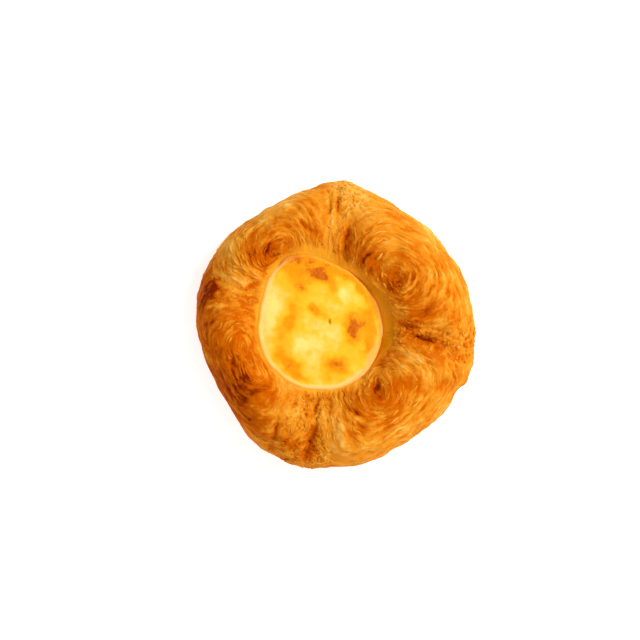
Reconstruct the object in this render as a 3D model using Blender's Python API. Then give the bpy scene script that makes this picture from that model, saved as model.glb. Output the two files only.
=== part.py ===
"""Danish pastry with a custard centre.

A square of laminated dough whose four edges are rolled inwards, so that four
swirled folds stand round a well, with a pinched seam at each corner between
them. The well holds a low dome of baked custard.

Run it with: blender --background --python part.py
"""

from math import atan2, cos, exp, pi, radians, sin, tau

import bmesh
import bpy
from mathutils import Vector

MM = 0.001

# Overall sizes
FOLD_HEIGHT = 31.0 * MM  # crown of the tallest fold above the tray
WELL_FLOOR = 10.0 * MM  # dough left under the custard
LIP_HEIGHT = 23.0 * MM  # where the rolled folds turn down into the well
CUSTARD_EDGE = 23.3 * MM  # top of the custard where it meets the folds
CUSTARD_DOME = 1.1 * MM  # rise of the custard's middle above its edge
CUSTARD_RIM = 0.4 * MM  # the skin's raised rim,
RIM_PLACE, RIM_SPREAD = 0.93, 0.05  # and where it stands, as a share of the custard's radius
CUSTARD_ROUNDING = 1.6 * MM  # fall of the custard's edge outside its rim
GAP = 0.3 * MM  # clearance between the custard and the dough

# Each outline runs round the well's axis as (degrees, radius in mm).
DOUGH_OUTLINE = (
    (0, 56.2), (25, 54.0), (42, 52.2), (60, 51.3), (70, 51.3), (80, 53.0), (98, 48.6),
    (120, 45.9), (150, 46.1), (172, 45.9), (206, 43.8), (220, 44.4), (234, 47.8), (250, 51.4),
    (280, 54.2), (300, 53.6), (312, 54.2), (328, 56.0), (333, 55.8), (338, 57.5), (346, 57.8),
)
CUSTARD_OUTLINE = (
    (0, 21.8), (35, 20.5), (75, 21.0), (117, 25.8), (165, 22.2),
    (215, 24.0), (265, 24.4), (305, 24.6), (340, 23.0),
)

# The rolled folds: the direction of each swirl's eye, its distance from the well's axis, and
# how far the fold's crown stands below the tallest one.
FOLDS = (
    {"angle": 28.0, "eye": 31.9 * MM, "lower": 0.4 * MM},
    {"angle": 122.0, "eye": 30.5 * MM, "lower": 1.6 * MM},
    {"angle": 204.5, "eye": 29.0 * MM, "lower": 0.0 * MM},
    {"angle": 312.0, "eye": 31.1 * MM, "lower": 1.0 * MM},
)
# The pinched seams between the folds: direction, depth below the crown and half width.
SEAMS = (
    {"angle": 80.0, "depth": 4.6 * MM, "half_width": 9.0 * MM},
    {"angle": 158.0, "depth": 4.2 * MM, "half_width": 7.5 * MM},
    {"angle": 268.0, "depth": 3.8 * MM, "half_width": 9.0 * MM},
    {"angle": 351.0, "depth": 6.0 * MM, "half_width": 7.0 * MM},
)
FOLD_BLEND = 40.0  # degrees over which the height of one fold passes into the next one's
CREASE_SHARE = 0.32  # of a seam's depth, the sharp crease along its middle
CREASE_HALF_WIDTH = 1.9 * MM

# Cross-section of a fold
CROWN_PLACE = 0.46  # crown's place between the well's lip and the outline
WIDEST_HEIGHT = 0.32  # height of the widest point, as a share of the crown's
BASE_TUCK = 4.2 * MM  # how far the foot is drawn in under the widest point
INNER_SQUARENESS = 0.92  # 1 is a quarter ellipse, less is a squarer shoulder
INNER_ROUNDING = 0.65  # how much of the slope to the custard is an S-curve instead
OUTER_SQUARENESS = 0.86

# Where the custard has shrunk from the dough, the well opens out and leaves a crevice.
CREVICE_ANGLE = 6.0
CREVICE_SPREAD = 34.0
CREVICE_WIDTH = 4.8 * MM
CREVICE_FLOOR = 20.6 * MM

# Layer steps round the eyes
LAYER_PITCH = 5.6 * MM
LAYER_RELIEF = 0.45 * MM
ALONG_STRETCH = 0.85  # rings are longer along the fold than across it
INWARD_SQUEEZE = 1.3  # and closer together on the side of the well
EYE_DEPTH = 1.4 * MM
EYE_RADIUS = 3.0 * MM

# Plain finishes: colour and roughness
CRUST = (0.62, 0.24, 0.04), 0.5
CUSTARD = (0.9, 0.62, 0.14), 0.35

# Facets
DOUGH_SEGMENTS, DOUGH_RINGS = 88, 44
CUSTARD_SEGMENTS, CUSTARD_RINGS = 44, 20

# Shares of a section, from the middle of the well's floor (0) round to the middle of the base (1)
FLOOR_END = 2 / DOUGH_RINGS
WALL_END = 5 / DOUGH_RINGS
CROWN_END = 18 / DOUGH_RINGS
WIDEST_END = 34 / DOUGH_RINGS
FOOT_END = 40 / DOUGH_RINGS
# and of the custard's, from the middle of its top to the middle of its underside
TOP_END = 14 / CUSTARD_RINGS
SIDE_END = 17 / CUSTARD_RINGS


def turned_from(angle, direction):
    """The signed angle, in radians, from a direction in degrees."""
    return (angle - radians(direction) + pi) % tau - pi


def around(stations, angle):
    """The radius of a closed outline, smooth through its stations."""
    count = len(stations)
    degrees = (angle % tau) * 360 / tau
    place = max(i for i in range(count) if stations[i][0] <= degrees)
    angles = [stations[(place + k) % count][0] + 360 * ((place + k) // count) for k in (-1, 0, 1, 2)]
    radii = [stations[(place + k) % count][1] for k in (-1, 0, 1, 2)]
    span = angles[2] - angles[1]
    slope_in = (radii[2] - radii[0]) / (angles[2] - angles[0]) * span
    slope_out = (radii[3] - radii[1]) / (angles[3] - angles[1]) * span
    t = (degrees - angles[1]) / span
    radius = (
        (2 * t**3 - 3 * t**2 + 1) * radii[1]
        + (t**3 - 2 * t**2 + t) * slope_in
        + (3 * t**2 - 2 * t**3) * radii[2]
        + (t**3 - t**2) * slope_out
    )
    return radius * MM


def crevice(angle):
    """How far the well stands clear of the custard in this direction."""
    return CREVICE_WIDTH * exp(-((turned_from(angle, CREVICE_ANGLE) / radians(CREVICE_SPREAD)) ** 2))


def crown_height(angle):
    """Height of the folds' crown, blended between neighbouring folds."""
    weights = [exp(-((turned_from(angle, fold["angle"]) / radians(FOLD_BLEND)) ** 2)) for fold in FOLDS]
    lower = sum(w * fold["lower"] for w, fold in zip(weights, FOLDS)) / sum(weights)
    return FOLD_HEIGHT - lower


def seam_depth(angle, radius):
    """How far the pinched seams sink the surface here."""
    depth = 0.0
    for seam in SEAMS:
        across = turned_from(angle, seam["angle"]) * radius
        broad = exp(-((across / seam["half_width"]) ** 2))
        sharp = exp(-((across / CREASE_HALF_WIDTH) ** 2))
        depth += seam["depth"] * ((1 - CREASE_SHARE) * broad + CREASE_SHARE * sharp)
    return depth


def layer_relief(angle, radius):
    """Steps of the laminated layers, ring after ring round the nearest eye, and the eye's pit."""
    nearest = min(ring_distance(angle, radius, fold) for fold in FOLDS)
    steps = LAYER_RELIEF * cos(tau * nearest / LAYER_PITCH)
    pit = EYE_DEPTH * exp(-((nearest / EYE_RADIUS) ** 2))
    return steps - pit


def ring_distance(angle, radius, fold):
    """Distance from a fold's eye, counted in rings that are longer along the fold."""
    along = turned_from(angle, fold["angle"]) * fold["eye"] * ALONG_STRETCH
    across = radius - fold["eye"]
    if across < 0:
        across *= INWARD_SQUEEZE
    return (along**2 + across**2) ** 0.5


def dough_section(angle, share):
    """(radius, height) at a share of the way along the dough's section in this direction."""
    custard = around(CUSTARD_OUTLINE, angle) + GAP
    lip = custard + crevice(angle)
    outer = around(DOUGH_OUTLINE, angle)
    crown_radius = lip + (outer - lip) * CROWN_PLACE
    top = crown_height(angle)
    widest = top * WIDEST_HEIGHT
    if share <= FLOOR_END:
        return custard * share / FLOOR_END, WELL_FLOOR
    if share <= WALL_END:
        t = (share - FLOOR_END) / (WALL_END - FLOOR_END)
        height = WELL_FLOOR + (LIP_HEIGHT - WELL_FLOOR) * t
        opened = max(0.0, (height - CREVICE_FLOOR) / (LIP_HEIGHT - CREVICE_FLOOR))
        return custard + crevice(angle) * opened, height
    if share <= CROWN_END:
        t = (share - WALL_END) / (CROWN_END - WALL_END)
        rise, level = sin(t * pi / 2), max(cos(t * pi / 2), 0.0)
        soft = INNER_ROUNDING * (1 - crevice(angle) / CREVICE_WIDTH)
        climb = (1 - soft) * rise**INNER_SQUARENESS + soft * rise**2
        spread = (1 - soft) * (1 - level**INNER_SQUARENESS) + soft * t
        return lip + (crown_radius - lip) * spread, LIP_HEIGHT + (top - LIP_HEIGHT) * climb
    if share <= WIDEST_END:
        t = (share - CROWN_END) / (WIDEST_END - CROWN_END) * pi / 2
        radius = crown_radius + (outer - crown_radius) * sin(t) ** OUTER_SQUARENESS
        return radius, widest + (top - widest) * max(cos(t), 0.0) ** OUTER_SQUARENESS
    if share <= FOOT_END:
        t = (share - WIDEST_END) / (FOOT_END - WIDEST_END) * pi / 2
        return outer - BASE_TUCK * (1 - cos(t)), widest * (1 - sin(t))
    t = (share - FOOT_END) / (1 - FOOT_END)
    return (outer - BASE_TUCK) * (1 - t), 0.0


def dough_point(angle, share):
    """A point of the dough's surface, with its seams and layers."""
    radius, height = dough_section(angle, share)
    if WALL_END < share < FOOT_END:
        swell = sin(pi * (share - WALL_END) / (FOOT_END - WALL_END))
        raised = max(0.0, (height / crown_height(angle) - WIDEST_HEIGHT) / (1 - WIDEST_HEIGHT))
        height += raised * (swell * layer_relief(angle, radius) - swell * seam_depth(angle, radius))
    return Vector((radius * cos(angle), radius * sin(angle), height))


def custard_point(angle, share):
    """A point of the custard, from the middle of its top (0) to the middle of its underside (1)."""
    edge = around(CUSTARD_OUTLINE, angle)
    underside = WELL_FLOOR + GAP
    shoulder = CUSTARD_EDGE - CUSTARD_ROUNDING
    if share <= TOP_END:
        t = share / TOP_END
        rim = CUSTARD_RIM * exp(-(((t - RIM_PLACE) / RIM_SPREAD) ** 2))
        outside = max(0.0, (t - RIM_PLACE) / (1 - RIM_PLACE))
        fall = CUSTARD_DOME * t**2 + CUSTARD_ROUNDING * outside**2
        radius, height = edge * t, CUSTARD_EDGE + CUSTARD_DOME + rim - fall
    elif share <= SIDE_END:
        t = (share - TOP_END) / (SIDE_END - TOP_END)
        radius, height = edge, shoulder + (underside - shoulder) * t
    else:
        radius, height = edge * (1 - share) / (1 - SIDE_END), underside
    return Vector((radius * cos(angle), radius * sin(angle), height))


def material(name, colour, roughness):
    """A plain finish for one piece."""
    made = bpy.data.materials.new(name)
    made.use_nodes = True
    shader = made.node_tree.nodes["Principled BSDF"]
    shader.inputs["Base Color"].default_value = (*colour, 1.0)
    shader.inputs["Roughness"].default_value = roughness
    shader.inputs["Metallic"].default_value = 0.0
    return made


def shaped_ball(name, segments, rings, point, finish, collection):
    """A ball whose every point is moved to where its section puts it, as one closed solid."""
    mesh = bpy.data.meshes.new(name)
    ball = bmesh.new()
    bmesh.ops.create_uvsphere(ball, u_segments=segments, v_segments=rings, radius=1.0)
    for vert in ball.verts:
        across = Vector((vert.co.x, vert.co.y)).length
        share = atan2(across, vert.co.z) / pi
        vert.co = point(atan2(vert.co.y, vert.co.x), round(share * rings) / rings)
    bmesh.ops.recalc_face_normals(ball, faces=ball.faces)
    ball.to_mesh(mesh)
    ball.free()
    mesh.shade_smooth()
    mesh.materials.append(finish)
    made = bpy.data.objects.new(name, mesh)
    collection.objects.link(made)
    return made


def centre_over_origin(dough, others):
    """Moves the well's axis so that the whole pastry stands centred on the origin."""
    xs = [vert.co.x for vert in dough.data.vertices]
    ys = [vert.co.y for vert in dough.data.vertices]
    shift = Vector((-(min(xs) + max(xs)) / 2, -(min(ys) + max(ys)) / 2, 0.0))
    for made in (dough, *others):
        made.location = shift


def main():
    for old in list(bpy.data.objects):
        bpy.data.objects.remove(old)
    pastry = bpy.data.collections.new("danish_pastry")
    bpy.context.scene.collection.children.link(pastry)
    crust = material("baked_crust", *CRUST)
    filling = material("baked_custard", *CUSTARD)
    dough = shaped_ball("dough", DOUGH_SEGMENTS, DOUGH_RINGS, dough_point, crust, pastry)
    custard = shaped_ball("custard", CUSTARD_SEGMENTS, CUSTARD_RINGS, custard_point, filling, pastry)
    centre_over_origin(dough, [custard])


main()
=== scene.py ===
from math import cos, pi, radians, sin, tau

import bpy
import numpy as np
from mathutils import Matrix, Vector, noise


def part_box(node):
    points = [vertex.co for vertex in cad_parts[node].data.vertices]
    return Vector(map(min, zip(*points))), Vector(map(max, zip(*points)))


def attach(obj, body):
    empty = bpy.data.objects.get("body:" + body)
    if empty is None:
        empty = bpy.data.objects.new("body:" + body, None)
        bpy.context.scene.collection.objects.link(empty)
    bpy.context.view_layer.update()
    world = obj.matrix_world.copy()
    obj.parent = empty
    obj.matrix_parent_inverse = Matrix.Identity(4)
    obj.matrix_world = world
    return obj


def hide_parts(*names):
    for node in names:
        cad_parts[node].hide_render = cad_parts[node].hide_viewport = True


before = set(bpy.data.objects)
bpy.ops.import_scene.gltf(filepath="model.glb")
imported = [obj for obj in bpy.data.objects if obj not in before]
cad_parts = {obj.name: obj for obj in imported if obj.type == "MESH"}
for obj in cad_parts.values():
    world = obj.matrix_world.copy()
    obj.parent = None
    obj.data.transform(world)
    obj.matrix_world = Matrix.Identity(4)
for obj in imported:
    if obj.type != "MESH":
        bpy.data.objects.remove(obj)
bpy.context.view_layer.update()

mm = 0.001
custardLow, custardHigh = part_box("custard")

# Everything is worked out round the well's axis, in mm and degrees, and put in its place at the end.
doughPlan = {
    "outline": (
        (0, 56.2), (25, 54.0), (42, 52.2), (60, 51.3), (70, 51.3), (80, 53.0), (98, 48.6),
        (120, 45.9), (150, 46.1), (172, 45.9), (206, 43.8), (220, 44.4), (234, 47.8), (250, 51.4),
        (280, 54.2), (300, 53.6), (312, 54.2), (328, 56.0), (333, 55.8), (338, 57.5), (346, 57.8),
    ),
    "height": 31.0,
    "foldSpread": 40.0,  # degrees from a fold's middle over which its own height holds
    "wellFloor": 10.0,
    "lip": 23.0,
    "crownPlace": 0.46,  # crown's place between the lip and the outline
    "widest": 0.32,  # height of the widest point, as a share of the crown's
    "tuck": 4.2,
    "innerSquareness": 0.92,
    "innerRounding": 0.65,  # how far the slope to the custard is an S-curve, and not a quarter round
    "outerSquareness": 0.86,
    "crevice": (6.0, 34.0),  # direction and spread of the side where the custard has shrunk
    "creviceWidth": 4.8,
    "creviceFloor": 20.6,
}
custardOutline = (
    (0, 21.8), (35, 20.5), (75, 21.0), (117, 25.8), (165, 22.2),
    (215, 24.0), (265, 24.4), (305, 24.6), (340, 23.0),
)
# The rolled folds, anticlockwise, and the seam that each one starts from. An eye is drawn out at
# its slot's direction, from along the fold (0) to across it (90).
folds = (
    {"name": "northEast", "angle": 28.0, "eye": 31.9, "lower": 0.4, "from": 351, "slot": 58, "drawn": 1.4},
    {"name": "northWest", "angle": 122.0, "eye": 30.5, "lower": 1.6, "from": 80, "slot": -9, "drawn": 2.2},
    {"name": "southWest", "angle": 204.5, "eye": 29.0, "lower": 0.0, "from": 158, "slot": -4, "drawn": 3.0},
    {"name": "southEast", "angle": 312.0, "eye": 31.1, "lower": 1.0, "from": 268, "slot": -63, "drawn": 2.3},
)
seams = (
    {"angle": 80.0, "depth": 4.6, "halfWidth": 9.0, "torn": 0.5},
    {"angle": 158.0, "depth": 4.2, "halfWidth": 7.5, "torn": 0.35},
    {"angle": 268.0, "depth": 3.8, "halfWidth": 9.0, "torn": 0.7},
    {"angle": 351.0, "depth": 6.0, "halfWidth": 7.0, "torn": 0.8},
)


def turnedFrom(theta, degrees):
    return (theta - radians(degrees) + pi) % tau - pi


def smooth(low, high, value):
    t = np.clip((value - low) / (high - low), 0, 1)
    return t * t * (3 - 2 * t)


def bell(value, width):
    return np.exp(-((value / width) ** 2))


def towards(theta, direction, spread):
    # 1 in one direction, fading to both sides of it; both are in degrees
    return bell(turnedFrom(theta, direction), radians(spread))


def turns(columns):
    return (np.arange(columns) * tau / columns)[:, None]


def steps(count):
    return np.arange(1, count + 1)[None, :] / count


def around(stations, theta):
    # radius in mm of a closed outline, smooth through its stations
    angles = np.array([s[0] for s in stations], float)
    radii = np.array([s[1] for s in stations], float)
    degrees = np.degrees(theta) % 360
    place = np.searchsorted(angles, degrees, side="right") - 1
    count = len(stations)
    a = [angles[(place + k) % count] + 360 * ((place + k) // count) for k in (-1, 0, 1, 2)]
    r = [radii[(place + k) % count] for k in (-1, 0, 1, 2)]
    span = a[2] - a[1]
    slopeIn = (r[2] - r[0]) / (a[2] - a[0]) * span
    slopeOut = (r[3] - r[1]) / (a[3] - a[1]) * span
    t = (degrees - a[1]) / span
    start = (2 * t**3 - 3 * t**2 + 1) * r[1] + (t**3 - 2 * t**2 + t) * slopeIn
    end = (3 * t**2 - 2 * t**3) * r[2] + (t**3 - t**2) * slopeOut
    return start + end


def noiseAt(x, y, z, size, seed=0.0):
    # smooth noise from -1 to 1; size is that of a lump, in the units of x, y and z
    places = np.stack(np.broadcast_arrays(x, y, z), -1).reshape(-1, 3) / size + seed
    values = np.fromiter((noise.noise(p) for p in places.tolist()), float, len(places))
    return values.reshape(np.broadcast(x, y, z).shape)


def findAxis():
    # the well's axis, from the middle of the custard's own box
    circle = np.radians(np.arange(360))
    rim = around(custardOutline, circle)
    place = []
    for low, high, share in zip(custardLow, custardHigh, (np.cos(circle), np.sin(circle))):
        reach = rim * share
        place.append((low + high) / 2 / mm - (reach.min() + reach.max()) / 2)
    return np.array([*place, 0.0])


axis = findAxis()
print("the well's axis is at", np.round(axis, 2), "mm")

crust = {
    "columns": 1200,  # points round the pastry
    "rings": {"floor": 2, "wall": 8, "inner": 92, "outer": 124, "foot": 26, "base": 10},
    "halfLength": 25.0,  # what the way from an eye to a seam is counted as, in mm
    "inwardSqueeze": 1.35,  # rings stand closer together on the well's side
    "unevenness": 0.08,
    "layerPitch": 2.3,
    "layerRise": 0.27,
    "flake": (1.25, 3.0),  # across and along the rings
    "wallFlake": (1.1, 9.0),
    "flakeRise": 0.27,
    "crumb": (0.7, 1.5),
    "crumbRise": 0.16,
    "knobRise": 0.26,
    "tornRise": 0.46,
    "swell": 0.9,
    "seamLines": ((0, 1.0, 1.0), (3.2, 0.8, 0.5), (-4.4, 0.9, 0.4)),  # place, width and share of each
    "pinch": 0.07,  # share of a seam's depth on the outer wall
    "grooves": 0.75,  # share of the depth given for each crease
    "eyeDepth": 1.2,
    "eyeRadius": 2.4,
    "tangle": 6.0,  # mm round an eye in which the layers run wild
    "foot": 0.25,  # mean height of the underside, which is a little uneven
    "poleHeight": 0.2,
    "seamPole": (28.0, 8.0),  # radius and height where the faces at a seam meet
    "browning": 0.55,  # as in the custard, 0 is unbaked and 1 nearly scorched
    "palest": 0.29,
    "underneath": 0.66,
    "ragged": 1.6,  # mm that the edges of patches wander
    "smoothLip": (1.4, 5.5),  # mm from the lip that stay smooth, and more on the stained side
    "smoothFoot": 4.0,
    "stainReach": (1.6, 4.6, 1.2),  # mm from the lip, and more on the stained side and at the crevice
    "stained": (88, 36),  # direction and spread of the side where custard reaches furthest up
    "unstained": ((-33, 13, 1.0), (70, 9, 0.5), (117, 8, 0.6)),  # places that it missed, and how far
    "seed": 11.3,
}
# Where the crust is darker (+) or paler (-) than the rest: x, y, half length, half width, turn and
# how much. Besides baking, these hold painted light and shade: paler patches on walls turned away
# from the key lamp, and darker eyes where their pits stand in shade.
crustTonesAndPaintedLight = (
    # the north seam and the pale corner above it
    (3, 31, 3.4, 4, 0, -0.10),
    (-3, 41, 8, 5, 10, 0.10),
    (11, 29.5, 3.6, 7, 10, 0.14),
    (3, 40, 5, 11, -4, -0.16),  # pale north seam
    (12, 47, 8, 5.5, -20, -0.36),
    (7.6, 23, 3.4, 3.4, 0, 0.34),
    (14.2, 35.6, 4.4, 5.5, 20, -0.26),
    (3.7, 28.3, 3, 3, 0, -0.15),
    # north-west fold
    (-34, 33, 13, 5, 45, -0.10),
    (-32, 27, 5, 4, 45, -0.08),
    (-18, 30, 13, 8, 30, 0.10),
    (-16.8, 25.5, 5, 3.6, 30, 0.42),  # north-west eye
    (-24.8, 22.8, 1.6, 5, -5, 0.24),
    (-5.3, 33.6, 3.4, 3.4, 0, 0.20),
    (-17.9, 20, 4, 2.4, 30, 0.30),
    (-35.9, 26.5, 4, 4, 0, -0.27),
    (-11.5, 43.6, 13, 3.4, 20, -0.34),
    (-18.3, 38.8, 6, 3.6, 30, -0.24),
    (-8, 30.6, 3, 2.4, 0, -0.15),
    # west seam and the torn, scorched corner
    (-38.6, 13, 1.9, 3.3, 0, 0.66),  # scorched west corner
    (-41, 10.2, 2.2, 3, 0, 0.20),
    (-42.5, 6, 4, 10, 0, 0.26),
    (-28.5, 8, 2, 2, 0, 0.12),
    (-29, 14.5, 8, 3.6, -30, -0.14),
    (-37, 9.2, 3.4, 3, 0, 0.26),
    (-44, 8.5, 3, 5, 0, 0.06),
    (-34.8, 16.2, 3, 3, 0, -0.19),
    (-31.7, 5.4, 2.6, 2.6, 0, -0.20),
    # south-west fold
    (-38.6, -1, 3.8, 3.4, 30, 0.22),
    (-33, -20, 13, 7, 120, 0.20),
    (-39, -12, 7, 16, 0, 0.21),
    (-27.5, -20, 2.2, 2.8, 0, 0.22),
    (-28, -9.6, 3, 6, 0, 0.17),
    (-26, -17, 7, 10, 10, 0.09),
    (-25.2, -22, 3.4, 3.2, 0, 0.28),
    (-27, -32.5, 4, 4.4, 0, 0.22),
    (-29, -4, 3.4, 5, 0, 0.08),
    (-10, -24.4, 5, 2.2, -20, -0.24),
    (-21.6, -26.5, 6.5, 4, -30, 0.30),
    (-31.6, -26.4, 4.4, 6, 25, 0.36),
    (-20.5, -36.8, 4, 4, 0, 0.34),
    (-11.5, -30, 4, 3, 0, 0.14),
    (-30.2, -0.4, 3, 4, 0, 0.24),
    (-34.5, -3.9, 2.6, 2.6, 0, -0.16),
    # south seam
    (-2, -47, 10, 5, 0, 0.08),
    (-9.5, -34, 6.5, 4.5, -20, -0.18),
    (5.5, -42, 3, 4, 0, -0.14),
    (-10.4, -44.4, 5, 3.6, 15, 0.26),
    # south-east fold
    (21.6, -9.2, 1.8, 3.6, -25, 0.50),
    (21, -23.5, 1.7, 5, 15, 0.16),  # south-east eye
    (14.5, -26, 1.6, 4, 10, 0.08),
    (46, -22, 6, 6, 40, -0.08),
    (35, -38, 14, 5, 45, -0.14),
    (39.4, -20.4, 5, 3.2, 0, -0.30),
    (30.4, -24.8, 5, 4.2, 20, 0.22),
    (46, -23.2, 4, 4, 0, 0.24),
    (17, -39.6, 8, 4.2, 10, 0.14),
    (10, -46.6, 9, 5, 5, -0.34),
    (32, -13.8, 4, 3, 0, -0.14),
    (15.4, -22.8, 2.6, 2.6, 0, -0.28),
    (20.2, -23.1, 1.2, 2.7, 15, 0.32),
    (20.5, -45.4, 5, 3, 15, -0.15),
    # east seam and the crevice
    (37.8, 1.8, 6.4, 2.9, 22, 0.46),
    (49, -7, 6, 11, 0, -0.12),
    (43.6, -0.8, 3.6, 2.6, 0, -0.26),
    (48.8, -10, 6, 6.5, 0, 0.32),
    (49.5, -1.8, 4, 4, 0, 0.12),
    # north-east fold
    (51, 6.5, 3.4, 4, 0, -0.16),
    (26, 13, 3.4, 4.4, -30, 0.30),  # north-east eye
    (21, 16.6, 6, 8, 45, 0.08),
    (16.8, 22.4, 3.8, 3.2, 30, 0.36),
    (18, 24, 16, 5.5, -45, 0.03),
    (33.8, 16.6, 4, 4, 0, 0.22),
    (38, 28, 9, 7, -50, -0.13),
    (48, 14, 7, 16, 10, -0.02),
    (40, 20, 4, 4, 0, 0.12),
    (23, 38, 6, 3.4, -35, -0.16),
    (28.2, 27.4, 4, 3.6, -40, -0.26),
    (41.9, 11.7, 3.6, 3.6, 0, 0.18),
    (19.3, 17.2, 3, 3, 0, 0.15),
    (19.3, 28.3, 3.4, 3, 0, 0.16),
)
# Grooves of the crust, or ridges where the depth is less than nothing: x and y of both ends, depth,
# half width and how much darker it is, as painted shade in a groove and painted light on a ridge.
creases = (
    # east seam and the crevice
    (34.5, -5.6, 43.6, -7.8, 2.6, 1.4, 0.54),
    (41.3, -9.9, 47, -9, 1.2, 0.7, 0.22),
    (28.4, -1.4, 35.2, -2.6, 1.8, 1, 0.32),
    (23, -9.4, 19.8, -16.6, 1, 0.9, 0.18),
    (37.8, -13.8, 40.2, -19, 0.7, 0.6, 0.12),
    (47.2, -17.8, 49, -20.6, 0.8, 0.5, 0.20),
    (29.6, -10.4, 36.6, -14.6, -0.6, 1.2, -0.44),
    (46, -14.4, 52, -16.2, -0.7, 0.9, -0.18),
    # south seam and the folds beside it
    (-2.6, -38.4, -5.2, -48.4, 2.6, 1.4, 0.42),
    (-0.8, -27.6, -2.6, -32.8, 1.5, 0.9, 0.24),
    (-15.2, -34.6, -17.6, -44.6, 1.4, 1, 0.24),
    (9.6, -30.6, 15, -34.4, 0.9, 0.8, 0.34),
    (4.8, -26.4, 8.4, -43, -0.8, 1.5, -0.19),
    (0.4, -32.8, 1.4, -35.8, -0.8, 0.8, -0.24),
    # north seam
    (6.3, 49, 6.1, 36, 0.4, 0.6, 0.12),
    (3, 47.4, 3.4, 36.4, 0.3, 0.6, 0.10),
    (4.8, 46, 4.6, 36.6, -0.6, 0.8, -0.14),
    (10.2, 35.6, 8.6, 22.6, 1.7, 1.7, 0.28),
    (11.6, 35.4, 18.4, 39, 0.6, 0.5, 0.04),
    (-7.2, 36, -2.4, 32.6, 1.1, 1.1, 0.26),
    # north-west fold
    (-20.4, 24, -18.6, 28, 0.6, 0.9, 0.16),
    (-18.6, 28, -14.4, 29.2, 0.5, 0.8, 0.12),
    (-18.4, 24.2, -13, 27.2, -1.2, 1, -0.20),
    (-27.2, 19.8, -20.6, 14.4, -0.9, 1.2, -0.20),
    # west seam and the south-west fold
    (-38.6, 17.8, -27.2, 13.4, -0.7, 0.9, -0.22),
    (-26.2, 12, -22.6, 13.4, 0.9, 1.1, 0.32),
    (-41.6, 4.4, -33.4, 6.4, -0.7, 0.7, -0.26),
    (-31.4, -13.4, -30.8, -19, 1, 0.9, 0.28),
)
# Where the dough is torn and frothy, besides the seams, in the same columns as the patches.
tornPatches = (
    (52, -6, 6.5, 11, 0, 1.1),
    (-9, -33, 8.5, 8, 0, 0.8),
    (-9, -46, 11, 5, 0, 0.9),
    (-30, 8.5, 7, 3.5, 0, 0.3),
    (10, 45, 7, 6.5, 0, 0.8),
    (24, 20, 5, 3.5, 20, 0.5),
    (-25, -12, 3.5, 5, 0, 0.6),
)


def creased(x, y, height):
    # depth in mm of the grooves at each place, and how much darker they are painted, as painted shade
    x = x + 0.7 * noiseAt(x, y, height, 3.0, 41.2)
    y = y + 0.7 * noiseAt(x, y, height, 3.0, 57.9)
    depth, toast = 0, 0
    for startX, startY, endX, endY, deep, halfWidth, paintedGrooveShade in creases:
        runX, runY = endX - startX, endY - startY
        share = np.clip(((x - startX) * runX + (y - startY) * runY) / (runX**2 + runY**2), 0, 1)
        away = np.hypot(x - startX - share * runX, y - startY - share * runY)
        profile = bell(away, halfWidth) * (1 - 0.5 * (2 * share - 1) ** 2)
        depth = depth + crust["grooves"] * deep * profile
        toast = toast + paintedGrooveShade * profile
    return depth, toast


def custardReach(theta):
    # the custard's outline, gently wavy
    return around(custardOutline, theta) + 0.4 * noiseAt(22 * np.cos(theta), 22 * np.sin(theta), 0, 6.0, 8.8)


def crevice(theta):
    # how far the custard stands off from the dough, in mm
    return doughPlan["creviceWidth"] * towards(theta, *doughPlan["crevice"])


def crownHeight(theta):
    weights = [towards(theta, fold["angle"], doughPlan["foldSpread"]) for fold in folds]
    lower = sum(w * fold["lower"] for w, fold in zip(weights, folds)) / sum(weights)
    return doughPlan["height"] - lower


def doughSection(theta):
    # radius and height down the smooth section, from the well's floor to the middle of the base
    plan = doughPlan
    custardEdge = custardReach(theta) + 0.3
    opening = crevice(theta)
    lip = custardEdge + opening
    outer = around(plan["outline"], theta)
    crown = lip + (outer - lip) * plan["crownPlace"]
    top = crownHeight(theta)
    widest = top * plan["widest"]
    t = {name: steps(count) for name, count in crust["rings"].items()}
    level = 0 * theta
    wall = plan["wellFloor"] + (plan["lip"] - plan["wellFloor"]) * t["wall"]
    floor = plan["lip"] - 0.2 - (plan["lip"] - 0.2 - plan["creviceFloor"]) * smooth(1.6, 4.4, opening)
    opened = np.clip((wall - floor) / (plan["lip"] - floor), 0, 1)
    inner, outward, foot = (t[name] * pi / 2 for name in ("inner", "outer", "foot"))
    rise, fall = plan["innerSquareness"], plan["outerSquareness"]
    soft = plan["innerRounding"] * (1 - opening / plan["creviceWidth"])
    climb = (1 - soft) * np.sin(inner) ** rise + soft * np.sin(inner) ** 2
    spread = (1 - soft) * (1 - np.clip(np.cos(inner), 0, 1) ** rise) + soft * t["inner"]
    parts = (
        (custardEdge * t["floor"], plan["wellFloor"] + level * t["floor"]),
        (custardEdge + opening * opened, wall + level),
        (lip + (crown - lip) * spread, plan["lip"] + (top - plan["lip"]) * climb),
        (
            crown + (outer - crown) * np.sin(outward) ** fall,
            widest + (top - widest) * np.clip(np.cos(outward), 0, 1) ** fall,
        ),
        (outer - plan["tuck"] * (1 - np.cos(foot)), widest * (1 - np.sin(foot))),
        ((outer - plan["tuck"]) * (1 - t["base"][:, :-1]), level * t["base"][:, :-1]),
    )
    return np.concatenate([p[0] for p in parts], 1), np.concatenate([p[1] for p in parts], 1)


def halves(fold):
    # angles from a fold's eye to the seam ahead of it and to the one behind it
    ahead = folds[(folds.index(fold) + 1) % len(folds)]["from"]
    return radians((ahead - fold["angle"]) % 360), radians((fold["angle"] - fold["from"]) % 360)


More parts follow.
